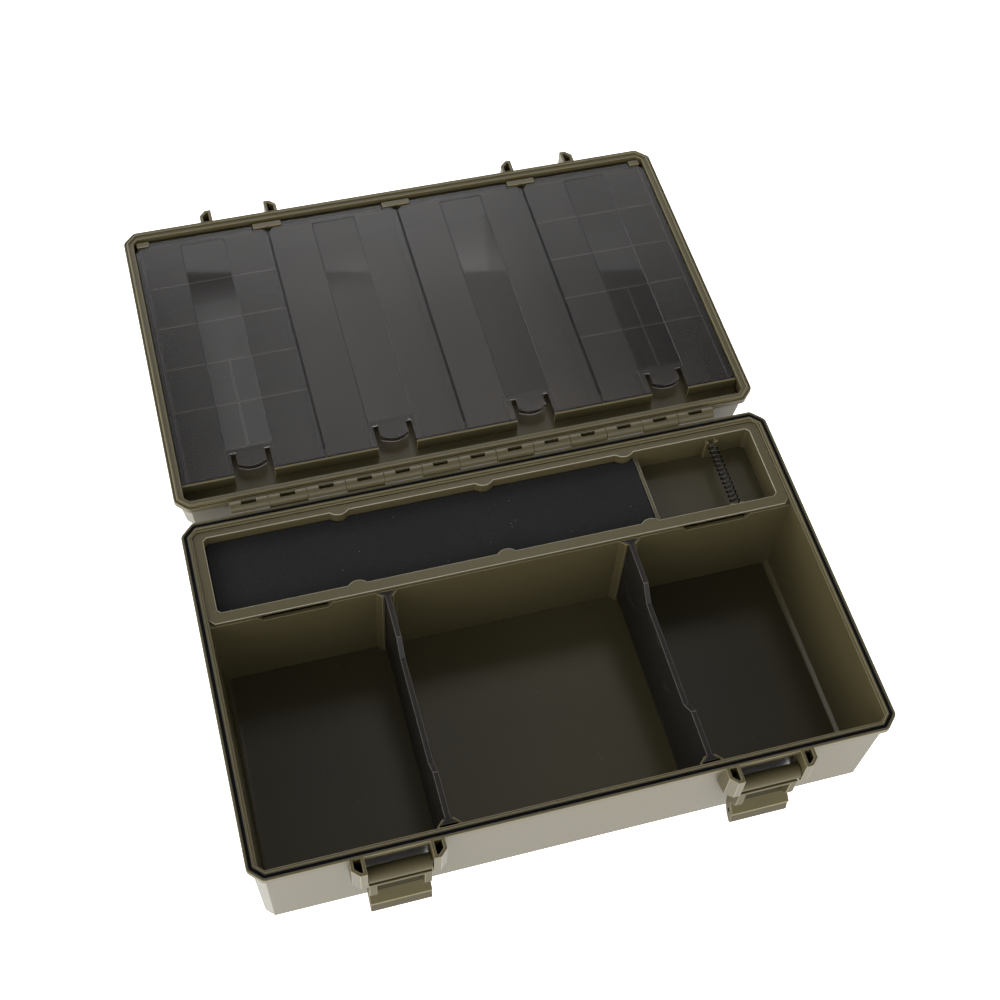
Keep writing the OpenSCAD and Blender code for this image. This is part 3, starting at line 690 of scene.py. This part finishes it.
def highlight_tray_edges(bm):
    """Painted highlight on the tray's thin edges, stronger than on the box, but not at the
    spring.
    """
    edge = bm.faces.layers.float["edge"]
    for f in bm.faces:
        place = f.calc_center_bounds()
        if abs(place.x - SPRING_X) > 5 * MM or place.z > SPRING_TOP:
            f[edge] *= TRAY_HIGHLIGHT


# painted shade on the tray's floors
def tray_shade(point, normal):
    return 0.4 if normal.z > 0.9 and point.z < TRAY_FLOOR_TOP_Z else 0.0


# ---- latches -----------------------------------------------------------

# painted shade on a latch's lip and window, and painted light on its sill
LIP_PAINTED_SHADE = 0.2
SILL_PAINTED_LIGHT = -0.45
WINDOW_PAINTED_SHADE = 0.4


def form_sill(bm):
    """The lower end of a latch: the rails run out over a full-width sill with a ridge."""
    for level in (RIDGE_Z, SILL_Z, RAIL_Z):
        cut(bm, bm.faces, (0, 0, level), (0, 0, 1))
    for v in bm.verts:
        if v.co.y > LATCH_FRONT + 0.2 * MM:
            continue
        if abs(v.co.z - SILL_Z) < 0.1 * MM:
            v.co.y += SILL_BACK
        elif RIDGE_Z - 1.0 * MM < v.co.z < RIDGE_Z + 0.1 * MM:
            v.co.y -= RIDGE_RISE
    bmesh.ops.remove_doubles(bm, verts=bm.verts, dist=0.1 * MM)
    bmesh.ops.dissolve_degenerate(bm, dist=0.01 * MM, edges=bm.edges)


def latch_shade(point, normal):
    """Painted shade in a latch's window and on the lip under the ridge, painted light on the
    sill.
    """
    if normal.y > -0.25 or point.z > LATCH_PLATE_TOP:
        return 0.0
    if point.z < RIDGE_Z - 0.6 * MM:
        return LIP_PAINTED_SHADE
    if point.z < SILL_Z:
        return SILL_PAINTED_LIGHT
    inside = (abs(abs(point.x) - LATCH_X) < WINDOW_HALF
              and point.y > LATCH_FRONT + 0.5 * MM)
    return WINDOW_PAINTED_SHADE if inside else 0.0


# ---- covers ------------------------------------------------------------

def press_strip(bm):
    """The shallow smooth channel along the middle of a cover's top."""
    centre = middle_x(bm)
    top = max(v.co.z for v in bm.verts)
    for at in (centre - STRIP_HALF, centre + STRIP_HALF):
        cut(bm, level_faces(bm, top), (at, 0, 0), (1, 0, 0))
    for at in (STRIP_NEAR, STRIP_FAR):
        cut(bm, level_faces(bm, top), (0, at, 0), (0, 1, 0))
    strip = [f for f in level_faces(bm, top)
             if abs(f.calc_center_median().x - centre) < STRIP_HALF
             and STRIP_NEAR < f.calc_center_median().y < STRIP_FAR]
    bmesh.ops.inset_region(bm, faces=strip, thickness=0.3 * MM, depth=-STRIP_DEPTH,
                           use_even_offset=True, use_boundary=True)


def darken_sides(bm):
    """Painted shade on a clear moulding's sides, which look black through it, except at the
    thin tab.
    """
    centre = middle_x(bm)
    edge = bm.faces.layers.float["edge"]
    for f in bm.faces:
        place = f.calc_center_bounds()
        if abs(place.x - centre) < TAB_HALF and place.y < TAB_END:
            f[edge] = 0.0
        elif abs(f.normal.z) < 0.6:
            f[edge] = 1.0


def on_strip(point, normal):
    return normal.z > LEVEL and abs(point.z - (COVER_TOP - STRIP_DEPTH)) < 0.1 * MM


# ---- rig spring --------------------------------------------------------

SPRING_CURLS = 13
CURL_STEPS = 24
WIRE = 0.9 * MM
WIRE_SIDES = 12
BEND = 0.9 * MM                                    # the wire's turn into its bracket
BEND_STEPS = 8


def make_spring(material):
    """One unbroken wire: straight ends that turn into the coil, and the coil."""
    low, high = (Vector(c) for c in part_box("rig_spring"))
    middle = (low + high) / 2
    coil_r = (high.x - low.x - WIRE) / 2
    start = low.y + BEND + 0.3 * MM
    end = high.y - BEND - 0.3 * MM
    steps = SPRING_CURLS * CURL_STEPS
    bm = bmesh.new()
    place = (Matrix.Translation((middle.x, start, middle.z - coil_r))
             @ Matrix.Rotation(math.pi / 2, 4, "Y"))
    ring = bmesh.ops.create_circle(bm, segments=WIRE_SIDES, radius=WIRE / 2,
                                   cap_ends=False, matrix=place)["verts"]
    first = ring + list({e for v in ring for e in v.link_edges})
    coil = bmesh.ops.spin(bm, geom=first, cent=(middle.x, start, middle.z),
                          axis=(0, -1, 0), dvec=(0, (end - start) / steps, 0),
                          angle=2 * math.pi * SPRING_CURLS, steps=steps,
                          use_merge=False, use_duplicate=False)
    for loop, y, side in ((first, start, -1), (coil["geom_last"], end, 1)):
        bent = bmesh.ops.spin(bm, geom=loop,
                              cent=(middle.x, y + side * BEND, middle.z - coil_r),
                              axis=(0, 0, 1), dvec=(0, 0, 0), angle=math.pi / 2,
                              steps=BEND_STEPS, use_merge=False, use_duplicate=False)
        tip = bmesh.ops.extrude_edge_only(
            bm, edges=[g for g in bent["geom_last"] if isinstance(g, bmesh.types.BMEdge)])
        verts = [g for g in tip["geom"] if isinstance(g, bmesh.types.BMVert)]
        reach = (low.y if side < 0 else high.y) - sum(v.co.y for v in verts) / len(verts)
        bmesh.ops.translate(bm, verts=verts, vec=(0, reach, 0))
    bmesh.ops.holes_fill(bm, edges=bm.edges, sides=WIRE_SIDES)
    bmesh.ops.recalc_face_normals(bm, faces=bm.faces)
    make_piece("rig_spring_coil", bm, material, BODY_OF["rig_spring"],
               SLOT_OF["rig_spring"], ["rig_spring"])


# ---- studio ------------------------------------------------------------

LOW_AIR, HIGH_AIR = 2.1, 0.15                      # strength near the table and overhead
FAR_PANEL = (0.56, 0.68), (0.838, 0.878)           # where it rises and falls, leaning back
NEAR_PANEL = (0.34, 0.46), (0.60, 0.70)
NEAR_PANEL_ACROSS = (0.03, 0.15), (0.21, 0.32)
WARM_PANEL = (1, 0.9, 0.78, 1)
SOFTBOX_CENTRE = Vector((0.3, 1.676, 1.2))
SOFTBOX_TURN = math.radians(-12.7)
SOFTBOX_DEPTH = 0.9
SOFTBOXES = (("left", -0.175, 0.65, 2.1),          # name, sideways shift, width, power
             ("right", 0.325, 0.35, 0.6))
TABLE_GLOW = 1.35


def make_air():
    """Bright low surroundings under a darker ceiling with two soft panels.

    A direction is read as its lean: back is Y over Z, and right is X over Z."""
    world = bpy.data.worlds.new("studio_air")
    bpy.context.scene.world = world
    world.use_nodes = True
    t = world.node_tree
    way = t.nodes.new("ShaderNodeSeparateXYZ")
    wire(t, t.nodes.new("ShaderNodeTexCoord").outputs["Generated"], way.inputs[0])
    height = maths(t, "MAXIMUM", way.outputs["Z"], 0.05)
    back = maths(t, "DIVIDE", way.outputs["Y"], height)
    right = maths(t, "DIVIDE", way.outputs["X"], height)
    far_panel = product(t, between(t, back, *FAR_PANEL),
                        remap(t, right, 0.45, 0.04),
                        remap(t, right, -0.01, 0.045, 0.0, 1.3, smooth=True))
    askew = maths(t, "SUBTRACT", right, remap(t, back, 0.43, 0.60, 0.0, 0.094))
    near_panel = product(t, between(t, back, *NEAR_PANEL),
                         between(t, askew, *NEAR_PANEL_ACROSS))
    panels = maths(t, "MULTIPLY_ADD", near_panel, 2.0, far_panel)
    general = remap(t, way.outputs["Z"], 0.50, 0.80, LOW_AIR, HIGH_AIR, smooth=True)
    right_dimmed = remap(t, way.outputs["X"], 0.15, 0.5, 1.0, 0.45, smooth=True)
    air = t.nodes["Background"]
    wire(t, mixed(t, near_panel, (1, 1, 1, 1), WARM_PANEL), air.inputs["Color"])
    wire(t, product(t, maths(t, "ADD", panels, general), right_dimmed),
         air.inputs["Strength"])


def make_softboxes():
    """Two flat lamps side by side behind the lid, facing down."""
    side = Vector((math.cos(SOFTBOX_TURN), math.sin(SOFTBOX_TURN), 0))
    for title, shift, width, power in SOFTBOXES:
        data = bpy.data.lights.new("rear_softbox_" + title, "AREA")
        data.shape = "RECTANGLE"
        data.size, data.size_y = width, SOFTBOX_DEPTH
        data.energy = power
        lamp = bpy.data.objects.new("rear_softbox_" + title, data)
        bpy.context.collection.objects.link(lamp)
        lamp.matrix_world = (Matrix.Translation(SOFTBOX_CENTRE + side * shift)
                             @ Matrix.Rotation(SOFTBOX_TURN, 4, "Z"))


def make_table():
    """A wide white table that glows, as on a light bench."""
    bm = bmesh.new()
    bmesh.ops.create_grid(bm, x_segments=1, y_segments=1, size=6)
    mesh = bpy.data.meshes.new("floor")
    bm.to_mesh(mesh)
    bm.free()
    m = bpy.data.materials.new("pale_floor")
    m.use_nodes = True
    shader = m.node_tree.nodes["Principled BSDF"]
    shader.inputs["Base Color"].default_value = (0.9, 0.9, 0.9, 1)
    shader.inputs["Roughness"].default_value = 0.9
    shader.inputs["Emission Color"].default_value = (1, 1, 1, 1)
    shader.inputs["Emission Strength"].default_value = TABLE_GLOW
    mesh.materials.append(m)
    floor = bpy.data.objects.new("floor", mesh)
    bpy.context.collection.objects.link(floor)


# ---- the whole box -----------------------------------------------------

make_camera()
bpy.context.scene.view_settings.view_transform = "Standard"
make_air()
make_softboxes()
make_table()

DUST_SPECKS = make_dust_specks()
HANDLING_MARKS = make_handling_marks()
GAP_LINES = make_gap_lines()
MOULD_SKIN = make_mould_skin()
SMOKED_FILM = make_smoked_film()
FOAM_CELLS = make_foam_cells()
DRAWN_METAL = make_drawn_metal()

# Each olive, black and rubber material sets how strongly highlights are painted on its rounded
# edges.
OLIVE_TONE = (0.092, 0.077, 0.036)
OLIVE = make_material("olive_plastic", MOULD_SKIN, OLIVE_TONE, 0.42,
                      masks=("edge", "polish", "shade"), Wear=1.1)
INSERT_OLIVE = make_material("insert_plastic", MOULD_SKIN, OLIVE_TONE, 0.42,
                             masks=("edge", "polish", "shade"), Wear=1.8,
                             under_covers=True)
LATCH_OLIVE = make_material("latch_plastic", MOULD_SKIN, (0.086, 0.073, 0.036), 0.5,
                            masks=("edge", "shade"), Wear=1.2,
                            shader_values={"Specular IOR Level": 0.15})
BLACK = make_material("black_plastic", MOULD_SKIN, (0.018, 0.016, 0.0145), 0.35,
                      masks=("edge",), Wear=6.0, Scuff=0.06,
                      shader_values={"Specular IOR Level": 0.25})
RUBBER = make_material("seal_rubber", MOULD_SKIN, (0.006, 0.0055, 0.006), 0.8,
                       masks=("edge",), Dust=0.01, Wear=0.5,
                       shader_values={"Specular IOR Level": 0.1})
SMOKED = make_material("smoked_plastic", SMOKED_FILM, (0.42, 0.392, 0.394), 0.19,
                       bump=0.04, masks=("edge", "polish"),
                       shader_values={"Transmission Weight": 1.0, "IOR": 1.49})
FOAM = make_material("foam", FOAM_CELLS, (0.019, 0.019, 0.019), 0.95, bump=0.12,
                     shader_values={"Specular IOR Level": 0.2})
STEEL = make_material("pin_steel", DRAWN_METAL, (0.35, 0.35, 0.36), 0.35,
                      shader_values={"Metallic": 1.0})
BLACK_STEEL = make_material("spring_wire", DRAWN_METAL, (0.055, 0.055, 0.057), 0.13,
                            shader_values={"Metallic": 1.0})

softened("base_shell", OLIVE, base_width, shape=form_floor, polish=in_base_room,
         shade=base_shade)
softened("lid_shell", OLIVE, lid_width, polish=in_lid_room, shade=plain)
softened("lid_insert", INSERT_OLIVE, 0.3, polish=everywhere, shade=plain)
softened("finger_shelf", INSERT_OLIVE, 0.3, polish=everywhere, shade=shelf_shade)
for name in ("cell_grid_left", "cell_grid_right"):
    softened(name, INSERT_OLIVE, 0.3, finish=highlight_cell_wall_tops, polish=everywhere, shade=plain)
softened("rig_tray", OLIVE, 0.4, finish=highlight_tray_edges, polish=everywhere, shade=tray_shade)
for name in ("latch_left", "latch_right"):
    softened(name, LATCH_OLIVE, 0.35, shape=form_sill, shade=latch_shade)
for name in ("divider_left", "divider_right"):
    softened(name, BLACK, 0.25)
for name in ("cover_1", "cover_2", "cover_3", "cover_4"):
    softened(name, SMOKED, 0.25, shape=press_strip, finish=darken_sides, polish=on_strip)
softened("base_seal", RUBBER, 0.4)
softened("foam_board", FOAM, 0.5)
for name in ("hinge_pin", "latch_pin_left", "latch_pin_right"):
    softened(name, STEEL, 0.2)
make_spring(BLACK_STEEL)
